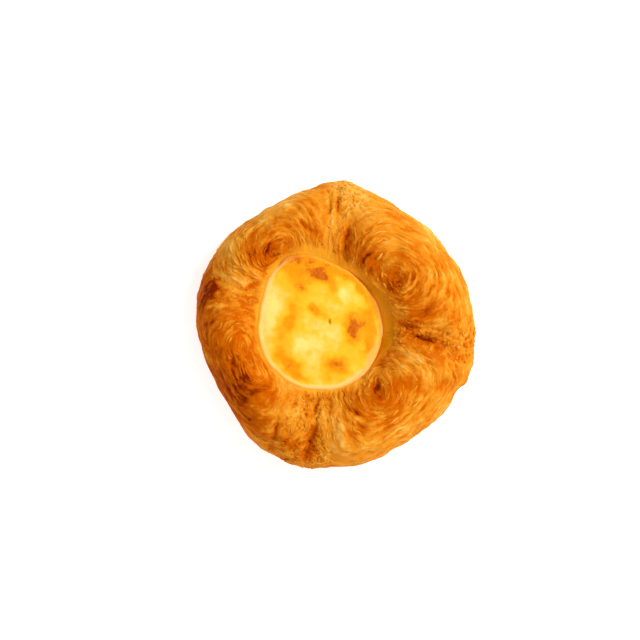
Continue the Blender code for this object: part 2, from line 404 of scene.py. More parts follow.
def ringDistance(fold, along, across):
    # which ring a place is on: drawn out at the eye, squarer far from it, a little uneven
    across = across * np.where(across < 0, crust["inwardSqueeze"], 1.0)
    plain = np.hypot(along, across)
    uneven = noiseAt(along, across, fold["angle"], 14.0, 2.7)
    uneven = uneven + 0.5 * noiseAt(along, across, fold["angle"], 5.0, 5.1)
    power = 2 + 0.9 * smooth(4, 20, plain)
    squared = (np.abs(along) ** power + np.abs(across) ** power + 1e-9) ** (1 / power)
    slot = radians(fold["slot"])
    long = along * cos(slot) + across * sin(slot)
    short = across * cos(slot) - along * sin(slot)
    drawn = np.hypot(long / fold["drawn"], short * fold["drawn"] ** 0.3)
    near = 1 - smooth(2, 14, plain)
    return (drawn * near + squared * (1 - near)) * (1 + crust["unevenness"] * uneven)


def ringMeasures(theta, arc, foldOf):
    distance = np.zeros_like(arc)
    for k, fold in enumerate(folds):
        mine = foldOf == k
        ahead, behind = halves(fold)
        turn = turnedFrom(theta[mine], fold["angle"])
        along = turn / np.where(turn > 0, ahead, behind) * crust["halfLength"]
        distance[mine] = ringDistance(fold, along, arc[mine] - fold["eyeArc"])
    return distance


def foldAt(theta, wander):
    # which fold a direction belongs to, with the seams wandering by so many degrees
    degrees = (np.degrees(theta) + wander - folds[0]["from"]) % 360
    edges = [(fold["from"] - folds[0]["from"]) % 360 for fold in folds[1:]]
    return np.digitize(degrees, edges)


def patchesAt(patches, x, y, ragged):
    # sum of soft patches whose edges wander by so many mm
    dx = x + ragged * (noiseAt(x, y, 0, 5.0, 3.1) + 0.5 * noiseAt(x, y, 0, 1.9, 7.7))
    dy = y + ragged * (noiseAt(x, y, 0, 5.0, 9.4) + 0.5 * noiseAt(x, y, 0, 1.9, 1.6))
    amount = np.zeros(np.broadcast(x, y).shape)
    for atX, atY, halfLength, halfWidth, degrees, strength in patches:
        turn = radians(degrees)
        u, v = dx - atX, dy - atY
        long = (u * cos(turn) + v * sin(turn)) / halfLength
        short = (v * cos(turn) - u * sin(turn)) / halfWidth
        amount += strength * np.exp(-1.2 * (long**2 + short**2))
    return amount


def unit(vectors):
    return vectors / np.maximum(np.linalg.norm(vectors, axis=-1, keepdims=True), 1e-9)


def addObject(name, mesh):
    made = bpy.data.objects.new(name, mesh)
    bpy.context.scene.collection.objects.link(made)
    return made


def report(made):
    print(made.name, sum(len(p.vertices) - 2 for p in made.data.polygons), "triangles")


def writeValues(mesh, name, values, kind="FLOAT", field="value"):
    flat = np.ascontiguousarray(values, float).reshape(-1)
    mesh.attributes.new(name, kind, "POINT").data.foreach_set(field, flat)


def skinFaces(here, ahead, top, bottom):
    # quads from each column of points to the one ahead of it, and a fan round either pole
    quads = np.stack([here[:, :-1], here[:, 1:], ahead[:, 1:], ahead[:, :-1]], -1).reshape(-1, 4)
    faces = quads.tolist()
    faces += [(top, a, b) for a, b in zip(here[:, 0].tolist(), ahead[:, 0].tolist())]
    faces += [(bottom, b, a) for a, b in zip(here[:, -1].tolist(), ahead[:, -1].tolist())]
    return faces


def meshInPlace(name, points, faces=(), lines=()):
    # a mesh from points in mm round the well's axis
    mesh = bpy.data.meshes.new(name)
    mesh.from_pydata(((points + axis) * mm).tolist(), lines, faces)
    return mesh


def pinchedSeams(theta, radius, wander):
    # the valleys between the folds in mm, and how torn the dough is there
    valley, torn = 0, 0
    for seam in seams:
        across = turnedFrom(theta + np.radians(wander), seam["angle"]) * radius
        sharp = sum(share * bell(across - place, width) for place, width, share in crust["seamLines"])
        valley = valley + seam["depth"] * (0.78 * bell(across, seam["halfWidth"]) + 0.13 * sharp)
        torn = torn + seam["torn"] * bell(across, 0.75 * seam["halfWidth"])
    return valley, np.clip(torn, 0, 1)


def crustNoises(x, y, height):
    # lumps of any size over the crust, and threads that run along its layers

    def lumps(size, kind):
        return noiseAt(x, y, height, size, crust["seed"] + kind)

    def threads(layer, across, along, kind):
        return noiseAt(layer / across, x / along, y / along, 1.0, crust["seed"] + kind)

    return lumps, threads


def crustLooks(theta, arc, x, y, height, layer, toast):
    # how dark each point is, from baking and from painted light and shade, how stained with custard, and how
    # near the crevice, where the stain is darkened with painted shade
    lumps, threads = crustNoises(x, y, height)
    # the patches and the creases' toast hold baking, painted light and painted shade
    patches = patchesAt(crustTonesAndPaintedLight, x, y, crust["ragged"]) + toast
    stained = towards(theta, *crust["stained"])
    missed = sum(share * towards(theta, place, spread) for place, spread, share in crust["unstained"])
    flatLumps = crustNoises(x, y, 0)[0]
    frayed = arc + 1.5 * flatLumps(5.0, 25) + 0.8 * flatLumps(1.6, 26)
    frayed = np.where(arc > 0, np.maximum(frayed, 0), 0)
    opened = smooth(0.4, 3.0, crevice(theta))
    least, aside, atCrevice = crust["stainReach"]
    stain = bell(frayed, least + aside * stained + atCrevice * opened) * (1 - 0.8 * missed)
    browning = (
        crust["browning"]
        + patches * (0.2 + 0.8 * smooth(5, 17, height))
        + 0.14 * lumps(10.0, 21)
        + 0.18 * threads(layer, 3.0, 8, 22)
        + 0.15 * threads(layer, 1.6, 4, 23)
        # the lower walls painted paler towards the east and darker towards the west: painted light and shade
        - 0.10 * smooth(0.85, 0.4, height / doughPlan["height"]) * np.cos(theta - radians(10))
        - 0.15 * stain
    )
    # the last is where the stain by the crevice turns darker: custard stain with painted shade
    return np.maximum(browning, crust["palest"]), stain, opened * bell(frayed, 2.6)


def crustSurface():
    # the whole baked surface as a grid of columns and rings, with what its finish needs to know
    rings, seed = crust["rings"], crust["seed"]
    theta = turns(crust["columns"])
    radius, height = doughSection(theta)
    first = rings["floor"] + rings["wall"] - 1
    last = first + rings["inner"] + rings["outer"] + rings["foot"]
    step = np.hypot(np.diff(radius, axis=1, prepend=0), np.diff(height, axis=1, prepend=0))
    step[:, : first + 1] = 0
    step[:, last + 1 :] = 0
    arc = np.cumsum(step, 1)  # length down the crust, from the lip of the well
    arcEnd = arc[:, -1:]
    for fold in folds:
        column = round(fold["angle"] / 360 * crust["columns"])
        upper = slice(first, first + rings["inner"] + rings["outer"])
        fold["eyeArc"] = float(np.interp(fold["eye"], radius[column, upper], arc[column, upper]))
    theta = theta + 0 * arc
    x, y = radius * np.cos(theta), radius * np.sin(theta)
    lumps, threads = crustNoises(x, y, height)
    points = np.stack([x, y, height], -1)
    onward = np.roll(points, -1, 0) - np.roll(points, 1, 0)
    normals = unit(np.cross(np.gradient(points, axis=1), onward))

    stained = towards(theta, *crust["stained"])
    least, more = crust["smoothLip"]
    cover = smooth(0, least + more * stained, arc) * smooth(0, crust["smoothFoot"], arcEnd - arc)
    wander = 4.0 * lumps(9.0, 0) + 1.5 * lumps(3.0, 5)
    layer = ringMeasures(theta, arc, foldAt(theta, wander))
    valley, torn = pinchedSeams(theta, radius, wander)
    torn = np.clip(torn + patchesAt(tornPatches, x, y, crust["ragged"]), 0, 1)
    torn = torn * smooth(1 + 5 * stained, 3 + 11 * stained, arc) * (0.25 + 0.75 * smooth(4, 18, height))
    # the creases' darkening is painted shade, and their paleness on ridges painted light
    depth, toast = creased(x, y, height)
    tangled = bell(layer, crust["tangle"])
    pit = crust["eyeDepth"] * bell(layer, crust["eyeRadius"])

    # layers of dough one behind the other, the fibres in them and the threads on them
    layer = layer + 0.5 * lumps(8.0, 1) + (0.45 + 0.8 * tangled) * lumps(3.2, 2) + 0.20 * lumps(1.4, 3)
    saw = (layer + 0.5 * lumps(4.0, 15)) / crust["layerPitch"] % 1.0
    shingle = smooth(0, 0.7, saw) * (1 - smooth(0.82, 1.0, saw))
    broken = smooth(-0.45, 0.4, threads(layer, 2.3, 6, 4))
    onTop = np.clip((height / crownHeight(theta) - doughPlan["widest"]) / (1 - doughPlan["widest"]), 0, 1)
    side = 1 - smooth(0.25, 0.8, onTop)
    flake = 0.5 + (1 - side) * threads(layer, *crust["flake"], 6)
    flake = flake + 1.2 * side * threads(layer, *crust["wallFlake"], 16)
    crumb = 0.5 + threads(layer, *crust["crumb"], 7)
    knobs = lumps(3.4, 12) + 0.5 * threads(layer, 2.6, 4, 13)
    faded = 0.35 + 0.65 * smooth(-0.35, 0.35, lumps(5.5, 14))
    rough = 0.7 * (1 - 2.4 * np.abs(lumps(1.9, 8))) + 0.3 * (1 - 2.4 * np.abs(lumps(0.8, 9)))
    crest = faded * (
        crust["layerRise"] * shingle * (0.3 + 0.7 * broken)
        + crust["flakeRise"] * flake
        + crust["crumbRise"] * crumb * (1 - 0.6 * side)
    )
    relief = (
        crest * (1 - 0.7 * torn)
        - depth
        - crust["pinch"] * valley * (1 - onTop)
        + crust["knobRise"] * knobs
        + crust["tornRise"] * rough * (0.12 + 0.88 * torn)
        + crust["swell"] * (lumps(14.0, 10) + 0.45 * lumps(6.0, 11))
        - pit
    )
    points = points + normals * (cover * relief)[..., None]
    points[..., 2] -= cover * onTop * np.sin(pi * np.clip(arc / arcEnd, 0, 1)) ** 0.6 * valley
    under = slice(last, None)
    points[:, under, 2] = crust["foot"] * (1 + noiseAt(x[:, under], y[:, under], 0, 7.0, seed))
    points[..., 2] = np.maximum(points[..., 2], 0)

    browning, stain, creviceStainAndShade = crustLooks(theta, arc, x, y, height, layer, toast)
    base = np.arange(arc.shape[1])[None, :] > last
    scorch = crust["underneath"] + 0.14 * noiseAt(x, y, 0, 9.0, seed + 24)
    browning = np.where(base, scorch, browning)
    # ridges are painted paler and valleys browner: partly the thin flakes' own tone, partly painted
    # highlight and painted shade
    ridgeToneAndShade = np.clip(crest / 0.55, 0, 1) * (1 - torn) + np.clip(0.15 + 0.6 * rough, 0, 1) * torn
    print("crust:", points.shape[0] * points.shape[1], "points")
    return {
        "points": points, "normals": normals, "arc": arc, "first": first, "last": last,
        "layer": layer, "browning": browning, "torn": torn * cover,
        "stain": np.where(arc > 0, stain, 1.0) * ~base,
        "creviceStainAndShade": creviceStainAndShade,
        "flaky": smooth(0.25, 0.95, torn) * cover * smooth(2, 5, arc) * smooth(5, 16, height),
        "crest": cover * ridgeToneAndShade + 0.4 * (1 - cover),
    }


def foldMesh(name, surface, start, count):
    # one fold as a closed body: its part of the surface, two walls at the seams and the axis
    columns = (start + np.arange(count + 1)) % crust["columns"]
    points = surface["points"][columns]
    rings = points.shape[1]
    index = np.arange((count + 1) * rings).reshape(count + 1, rings)
    top = index.size
    bottom, wallStart, wallEnd = top + 1, top + 2, top + 3
    faces = skinFaces(index[:-1], index[1:], top, bottom)
    smoothFaces = len(faces)
    for column, middle, way in ((index[0], wallStart, 1), (index[-1], wallEnd, -1)):
        loop = [top, *column.tolist(), bottom]
        for a, b in zip(loop, loop[1:] + loop[:1]):
            faces.append((middle, b, a)[::way])
    poles = [(0, 0, doughPlan["wellFloor"]), (0, 0, crust["poleHeight"])]
    reach, level = crust["seamPole"]
    for column in (columns[0], columns[-1]):
        turn = column * tau / crust["columns"]
        poles.append((reach * cos(turn), reach * sin(turn), level))
    mesh = meshInPlace(name, np.concatenate([points.reshape(-1, 3), poles]), faces)
    mesh.polygons.foreach_set("use_smooth", np.arange(len(faces)) < smoothFaces)
    for value in ("layer", "browning", "torn", "flaky", "stain", "creviceStainAndShade", "crest"):
        part = surface[value][columns].reshape(-1)
        writeValues(mesh, value, np.concatenate([part, np.full(len(poles), part.mean())]))
    return mesh


def buildCrust(surface):
    made = []
    starts = [round(fold["from"] / 360 * crust["columns"]) for fold in folds]
    for fold, start, end in zip(folds, starts, starts[1:] + starts[:1]):
        mesh = foldMesh(fold["name"], surface, start, (end - start) % crust["columns"])
        made.append(addObject("crust_" + fold["name"], mesh))
        report(made[-1])
    return made


crustGrid = crustSurface()
crustPieces = buildCrust(crustGrid)

# Thin broken edges of the layers, which stand up from the crust and follow its rings.
layerEdges = {
    "first": 1.2,  # the smallest ring and the largest, in mm
    "last": 60,
    "spacing": (1.0, 1.9),  # between neighbouring rings
    "length": (1.2, 5.0),
    "gap": (0.8, 5.0),
    "drift": 0.06,  # mm that an edge winds outwards in each mm
    "stray": 0.20,
    "tangle": (7, 1.1),  # the ring within which edges run wild, and by how many mm
    "curl": 0.22,
    "step": 0.4,  # mm between the points of an edge
    "width": 0.80,
    "height": 0.32,
    "lean": 0.6,
    "sunk": 0.15,  # mm of the edge's foot below the crust
    "bare": (0.6, 3.2),  # mm from the lip that stay free of edges, and more where it is stained
    "bareFoot": 2.0,
    "fewest": 4,  # points in an edge
    "palest": 0.32,
    "seed": 4,
}


def sampleCrust(surface, theta, arc, names):
    # what the surface holds at directions and lengths down the crust
    columns = len(surface["arc"])
    place = (theta % tau) / tau * columns
    i = np.floor(place).astype(int) % columns
    ahead = (i + 1) % columns
    s = place - np.floor(place)
    first, last = surface["first"], surface["last"]
    lengths = surface["arc"][:, first : last + 1]
    j = np.clip((lengths[i] < arc[:, None]).sum(1) - 1, 0, last - first - 1)
    low, high = lengths[i, j], lengths[i, j + 1]
    t = np.clip((arc - low) / np.maximum(high - low, 1e-6), 0, 1)
    j = j + first

    def sampled(values):
        u = t.reshape((-1,) + (1,) * (values.ndim - 2))
        v = s.reshape(u.shape)
        near = values[i, j] * (1 - u) + values[i, j + 1] * u
        far = values[ahead, j] * (1 - u) + values[ahead, j + 1] * u
        return near * (1 - v) + far * v

    return [sampled(surface[name]) for name in names]


def edgePaths(fold, rng):
    # points of a fold's edges: direction, length down the crust, share of the way to the seam
    kind = layerEdges
    ahead, behind = halves(fold)
    tangle, wild = kind["tangle"]
    angles, wants = [], []
    ring = kind["first"]
    while ring < kind["last"]:
        circle = tau * ring * 1.15
        place = rng.uniform(0, 4)
        while place < circle:
            run = rng.uniform(*kind["length"]) * (0.5 if ring < 5 else 1.0)
            count = max(kind["fewest"], int(run / kind["step"]))
            angle = (place + np.linspace(0, run, count)) / ring
            stray = kind["stray"] * run + (wild if ring < tangle else 0.0)
            want = ring + np.linspace(0, rng.normal(kind["drift"] * run, stray), count)
            wave = angle * ring / rng.uniform(0.5, 1.4) + rng.uniform(0, tau)
            angles.append(angle)
            wants.append(want + kind["curl"] * np.sin(wave))
            place += run + rng.uniform(*kind["gap"])
        ring += rng.uniform(*kind["spacing"])
    sizes = [len(angle) for angle in angles]
    angle, want = np.concatenate(angles), np.concatenate(wants)
    reach = want.copy()
    for _ in range(5):  # walks each point out or in until it is on its ring
        found = ringDistance(fold, reach * np.cos(angle), reach * np.sin(angle))
        reach = reach * np.clip(want / np.maximum(found, 0.2), 0.5, 2.0)
    along = reach * np.cos(angle) / crust["halfLength"]
    theta = radians(fold["angle"]) + along * np.where(along > 0, ahead, behind)
    return theta, fold["eyeArc"] + reach * np.sin(angle), np.abs(along), sizes


def put(tree, kind, inputs=None, **settings):
    # adds a node, sets it, fills or links its inputs, and gives its outputs
    node = tree.nodes.new(kind)
    for name, value in settings.items():
        setattr(node, name, value)
    for name, value in (inputs or {}).items():
        if isinstance(value, bpy.types.NodeSocket):
            tree.links.new(value, node.inputs[name])
        else:
            node.inputs[name].default_value = value
    return node.outputs


def calc(tree, operation, *values, clamp=False):
    inputs = dict(enumerate(values))
    return put(tree, "ShaderNodeMath", inputs, operation=operation, use_clamp=clamp)[0]


def times(tree, a, b):
    return calc(tree, "MULTIPLY", a, b)


def newTree(kind, name, inputs, outputs):
    # a tree with named inputs and outputs; also gives the identifier of each input
    tree = bpy.data.node_groups.new(name, kind)
    sockets = {}
    for label, sort, *value in inputs:
        socket = tree.interface.new_socket(label, in_out="INPUT", socket_type="NodeSocket" + sort)
        sockets[label] = socket.identifier
        if value:
            socket.default_value = value[0]
    for label, sort in outputs:
        tree.interface.new_socket(label, in_out="OUTPUT", socket_type="NodeSocket" + sort)
    return tree, tree.nodes.new("NodeGroupInput").outputs, tree.nodes.new("NodeGroupOutput").inputs, sockets


def shapeTree(name, inputs):
    return newTree("GeometryNodeTree", name, [("Geometry", "Geometry"), *inputs], [("Geometry", "Geometry")])


def closeTree(tree, geometry, finish, end):
    real = put(tree, "GeometryNodeRealizeInstances", {"Geometry": geometry})
    finished = put(tree, "GeometryNodeSetMaterial", {"Geometry": real[0], "Material": finish})
    tree.links.new(finished[0], end["Geometry"])


def attribute(tree, name, kind="FLOAT"):
    return put(tree, "GeometryNodeInputNamedAttribute", {"Name": name}, data_type=kind)[0]


def randomVector(tree, low, high, seed):
    inputs = {0: low, 1: high, "Seed": seed}
    return put(tree, "FunctionNodeRandomValue", inputs, data_type="FLOAT_VECTOR")[0]


def edgeTree():
    tree, start, end, sockets = shapeTree(
        "layerEdges", [("Width", "Float"), ("Height", "Float"), ("Finish", "Material")])
    curve = put(tree, "GeometryNodeMeshToCurve", {"Mesh": start["Geometry"]})[0]
    outward = attribute(tree, "outward", "FLOAT_VECTOR")
    turned = put(tree, "GeometryNodeSetCurveNormal", {"Curve": curve, "Normal": outward}, mode="FREE")[0]
    sides = {"Width": start["Height"], "Height": start["Width"]}
    profile = put(tree, "GeometryNodeCurvePrimitiveQuadrilateral", sides, mode="RECTANGLE")[0]
    swept = put(tree, "GeometryNodeCurveToMesh", {
        "Curve": turned, "Profile Curve": profile, "Scale": attribute(tree, "thick"), "Fill Caps": True,
    })[0]
    closeTree(tree, swept, start["Finish"], end)
    return tree, sockets


def asPlainMesh(made, tree, sockets, values):
    # runs a geometry tree on the object and keeps only the mesh that comes out
    modifier = made.modifiers.new(tree.name, "NODES")
    modifier.node_group = tree
    for label, value in values.items():
        modifier[sockets[label]] = value
    bpy.context.view_layer.update()
    seen = made.evaluated_get(bpy.context.evaluated_depsgraph_get())
    mesh = bpy.data.meshes.new_from_object(seen)
    mesh.name = made.name
    old = made.data
    made.modifiers.clear()
    made.data = mesh
    bpy.data.meshes.remove(old)
    mesh.shade_smooth()
    report(made)


def edgeMesh(fold, surface, rng):
    # the paths of a fold's edges as a mesh of points and lines
    theta, arc, reach, sizes = edgePaths(fold, rng)
    owner = np.repeat(np.arange(len(sizes)), sizes)
    column = np.floor((theta % tau) / tau * crust["columns"]).astype(int) % crust["columns"]
    arcEnd = surface["arc"][column, -1] - layerEdges["bareFoot"]
    least, more = layerEdges["bare"]
    bare = least + more * towards(theta, *crust["stained"])
    kept = (arc > bare) & (arc < arcEnd) & (reach < 1.03)
    breaks = (np.diff(owner) != 0) | (np.diff(kept.astype(int)) != 0)
    run = np.cumsum(np.concatenate([[0], breaks]))
    names, counts = np.unique(run[kept], return_counts=True)
    kept &= np.isin(run, names[counts >= layerEdges["fewest"]])
    counts = counts[counts >= layerEdges["fewest"]]
    place, normal, browning, torn = sampleCrust(
        surface, theta[kept], arc[kept], ("points", "normals", "browning", "torn"))
    normal = unit(normal)
    order = np.concatenate([np.linspace(0, 1, count) for count in counts])
    size = np.repeat(rng.uniform(0.4, 1.2, len(counts)), counts)
    thick = size * (0.1 + 0.9 * np.sin(pi * order) ** 0.6) * (1 - 0.3 * torn)
    thick = thick * (1 + 0.25 * noiseAt(*place.T, 1.2, 3.3)) * (0.5 + 0.5 * smooth(10, 24, place[:, 2]))
    ends = np.zeros(len(place), bool)
    ends[np.cumsum(counts) - 1] = True
    starts = np.arange(len(place))[~ends]
    side = unit(np.cross(unit(np.gradient(place, axis=0)), normal))
    lift = layerEdges["height"] * 0.5 * thick - layerEdges["sunk"]
    lines = np.stack([starts, starts + 1], -1).tolist()
    mesh = meshInPlace("edges", place + normal * lift[:, None], lines=lines)
    writeValues(mesh, "outward", unit(normal + layerEdges["lean"] * side), "FLOAT_VECTOR", "vector")
    writeValues(mesh, "thick", thick)
    # edges a little paler than the crust under them: partly thin dough's own tone, partly painted highlight
    edgeToneAndHighlight = np.repeat(rng.normal(-0.06, 0.08, len(counts)), counts)
    writeValues(mesh, "browning", np.maximum(browning + edgeToneAndHighlight, layerEdges["palest"]))
    return mesh


def buildEdges(surface, finish):
    tree, sockets = edgeTree()
    rng = np.random.default_rng(layerEdges["seed"])
    made = []
    for fold in folds:
        edge = addObject("layerEdges_" + fold["name"], edgeMesh(fold, surface, rng))
        sizes = {"Width": layerEdges["width"] * mm, "Height": layerEdges["height"] * mm}
        asPlainMesh(edge, tree, sockets, {**sizes, "Finish": finish})
        made.append(edge)
    return made


# Small loose flakes, mostly where the dough is torn.
flakes = {
    "length": 2.4,
    "width": 1.1,
    "thickness": 0.20,
    "bend": 0.22,  # drop of its ends, for each mm from the middle, squared
    "taper": 2.5,  # how much it narrows with each mm of drop
    "apart": 1.0,
    "density": 0.35,  # in a square mm, where the dough is wholly torn
    "lift": 0.06,
    "seed": 7,
}


def flakeTree():
    tree, start, end, sockets = shapeTree("looseFlakes", [
        ("Apart", "Float"), ("Density", "Float"), ("Lift", "Float"), ("Bend", "Float"), ("Taper", "Float"),
        ("Size", "Vector"), ("Seed", "Int"), ("Finish", "Material"),
    ])
    spread = put(tree, "GeometryNodeDistributePointsOnFaces", {
        "Mesh": start["Geometry"], "Distance Min": start["Apart"], "Density Max": start["Density"],
        "Density Factor": attribute(tree, "flaky"), "Seed": start["Seed"],
    }, distribute_method="POISSON")
    shade = put(tree, "FunctionNodeRandomValue", {2: -0.12, 3: 0.10}, data_type="FLOAT")[1]
    shaded = calc(tree, "ADD", attribute(tree, "browning"), shade)
    points = put(tree, "GeometryNodeStoreNamedAttribute", {
        "Geometry": spread["Points"], "Name": "browning", "Value": shaded,
    }, data_type="FLOAT", domain="POINT")[0]
    # one flake: a thin strip, narrower and lower towards its ends
    strip = put(tree, "GeometryNodeMeshCube", {"Size": start["Size"], "Vertices X": 6, "Vertices Y": 3})
    place = put(tree, "ShaderNodeSeparateXYZ", {0: put(tree, "GeometryNodeInputPosition")[0]})
    drop = times(tree, times(tree, place["X"], place["X"]), start["Bend"])
    inwards = times(tree, place["Y"], times(tree, drop, start["Taper"]))
    moves = {"Y": times(tree, inwards, -1.0), "Z": times(tree, drop, -1.0)}
    offset = put(tree, "ShaderNodeCombineXYZ", moves)[0]
    flake = put(tree, "GeometryNodeSetPosition", {"Geometry": strip[0], "Offset": offset})[0]
    # each one turned and sized at random
    spin = randomVector(tree, (-0.5, -0.3, 0.0), (0.5, 0.3, tau), 3)
    scale = randomVector(tree, (0.5, 0.5, 0.8), (1.3, 1.2, 1.3), 5)
    standing = {"Rotation": spread["Rotation"], "Rotate By": spin}
    turned = put(tree, "FunctionNodeRotateRotation", standing, rotation_space="LOCAL")[0]
    laid = put(tree, "GeometryNodeInstanceOnPoints", {
        "Points": points, "Instance": flake, "Rotation": turned, "Scale": scale,
    })[0]
    lift = put(tree, "ShaderNodeCombineXYZ", {"Z": start["Lift"]})[0]
    raised = put(tree, "GeometryNodeTranslateInstances", {"Instances": laid, "Translation": lift})
    closeTree(tree, raised[0], start["Finish"], end)
    return tree, sockets


def buildFlakes(finish):
    tree, sockets = flakeTree()
    size = tuple(flakes[name] * mm for name in ("length", "width", "thickness"))
    made = []
    for fold, piece in zip(folds, crustPieces):
        loose = addObject("looseFlakes_" + fold["name"], piece.data.copy())
        asPlainMesh(loose, tree, sockets, {
            "Apart": flakes["apart"] * mm, "Density": flakes["density"] / mm**2, "Lift": flakes["lift"] * mm,
            "Bend": flakes["bend"] / mm, "Taper": flakes["taper"] / mm, "Size": size,
            "Seed": flakes["seed"], "Finish": finish,
        })
        made.append(loose)
    return made


custard = {
    "columns": 320,
    "rings": {"top": 118, "side": 10, "base": 3},
    "tuckedIn": 0.45,  # how far its edge presses into the dough
    "edge": 23.3,
    "dome": 1.1,
    "rimRise": 0.16,
    "rimWidth": (
        (0, 1.3), (45, 1.0), (90, 1.6), (130, 2.4), (180, 3.0),
        (225, 2.4), (265, 1.8), (318, 2.7), (345, 2.2),
    ),
    "rimTint": (
        (0, 0.25), (45, 0.1), (90, 0.1), (112, 0.1), (132, 0.7),
        (180, 0.75), (225, 0.7), (265, 0.95), (318, 0.9),
    ),
    "seat": (190, 42),  # direction and spread, in degrees, of where it bakes on to the dough most
    "bakedEdge": (76, 52),  # and of where its edge is baked brown
    "peach": (-12, 48),  # and where its rim is peach, not cream
    "fall": (0.25, 1.9),  # of its edge against the dough, and at the crevice
    "fallWidth": (0.8, 1.8),
    "skirt": 0.9,  # how far its side spreads at the crevice
    "foot": 0.3,  # above the well's floor
    "browning": 0.38,
    "ragged": 2.0,
    "holeDepth": 1.0,
    "seed": 31.7,
}
# Browned patches of the skin, in the same columns as the crust's.
custardPatches = (
    (-9.6, 22.4, 5.6, 2.2, 16, 0.44),
    (15.6, 12, 6.5, 1.8, 128, 0.50),
    (7.8, 17, 4.4, 3, 145, 0.30),
    (-5.6, 18.7, 9.6, 5.8, 8, 0.46),  # baked golden at its north
    (-7.6, 12.2, 3.2, 3.4, 0, 0.30),
    (-11.4, -1.2, 4.4, 4, 10, 0.50),
    (-9.8, 5.4, 2.2, 3.4, -15, 0.30),
    (-15.4, -9.8, 3.4, 3.4, 10, 0.16),
    (-11.8, -13.8, 7.4, 3, -47, 0.30),
    (-10, -16.6, 4, 1.9, -50, 0.34),
    (-6, -20, 4.6, 1.8, -16, 0.20),
    (16.6, 0, 2.6, 8, 4, 0.30),
    (19.4, 0, 2.2, 11, 4, 0.34),
    (17, -9.2, 4.4, 1.5, 62, 0.52),
    (5.8, -16.8, 5.2, 4, 10, 0.44),
    (-2, 3.8, 3, 2.2, -20, 0.50),
    (2, 1.6, 2.4, 1.4, -20, 0.20),
    (4.6, 11, 3, 2.2, 40, 0.22),
    (-6.3, -8, 5.4, 4, -50, -0.24),  # palest parts
    (5, -6, 3.6, 5, 0, -0.16),
    (-18.6, 3, 3.4, 11, -4, -0.24),
    (8.6, 9.4, 1.8, 6, 10, -0.16),
    (13.2, 6.4, 2.6, 2.4, 0, -0.06),
)
# A pinprick, and where the skin has lifted from the dough; both are darkened with painted shade.
custardHoles = (
    (3.3, 0, 0.5, 1.1, 8, 1),
    (-14.8, 21, 2, 0.55, 50, 0.8),
)
# Blisters, where it is baked darkest.
custardBlisters = (
    (0.5, 17.2, 7, 2.7, -42, 0.46),
    (1.6, 16, 3.4, 1.4, -42, 0.30),
    (12.2, -2.1, 4.2, 6.8, 4, 0.66),
    (12.2, 0.4, 1.5, 2.2, 20, 0.22),
    (11.4, -3.6, 2, 1.8, 0, 0.24),
    (6, -15.3, 3.6, 2.2, 8, 0.26),
    (-6.6, 12.6, 1.4, 1.4, 0, 0.20),
    (-11, 23.2, 3.6, 1.8, 25, 0.26),
)


def custardSkin(theta, edge, clear):
    # radius and height over the top of the custard, with what its finish needs to know
    seed = custard["seed"]
    t = steps(custard["rings"]["top"])
    radius = edge * t
    x, y = radius * np.cos(theta), radius * np.sin(theta)

    def lumps(size, kind):
        return noiseAt(x, y, 0, size, seed + kind)

    inside = edge - radius
    rimWidth = (1 + 0.35 * lumps(5.0, 6)) * around(custard["rimWidth"], theta)
    rim = around(custard["rimTint"], theta) * smooth(1.1, 0.5, inside / rimWidth)
    seat = smooth(1.4, 0.6, inside) * (1 - clear) * (0.35 + 0.65 * towards(theta, *custard["seat"]))
    low, high = custard["fall"]
    near, far = custard["fallWidth"]
    outside = np.clip(1 - inside / (near + (far - near) * clear), 0, 1)
    height = custard["edge"] + custard["dome"] * (1 - t**2) - (low + (high - low) * clear) * outside**2
    height = height + custard["rimRise"] * rim * bell(inside - 1.0, 0.9)
    toast = patchesAt(custardPatches, x, y, custard["ragged"])
    toast = toast + 0.32 * smooth(4.0, 0.5, inside) * towards(theta, *custard["bakedEdge"])
    toast = 1.12 * toast + custard["browning"] + 0.13 * lumps(5.0, 0) + 0.10 * lumps(2.0, 1)
    toast = np.minimum(toast, 0.86) + patchesAt(custardBlisters, x, y, 0.7)
    even = 1 - smooth(2.5, 0.5, inside)
    height += even * (0.40 * lumps(9.0, 3) + 0.18 * lumps(3.2, 4))
    height += smooth(0.6, 1.2, toast) * (0.20 - 0.45 * np.abs(lumps(1.3, 2)))
    height += 0.16 * (1 - even) * lumps(2.4, 5)
    holes = patchesAt(custardHoles, x, y, 0.0)
    height -= custard["holeDepth"] * holes
    peach = np.broadcast_to(towards(theta, *custard["peach"]), rim.shape)
    return radius, height, {"toast": toast, "rim": rim, "paintedHoleShade": holes, "seat": seat, "peach": peach}


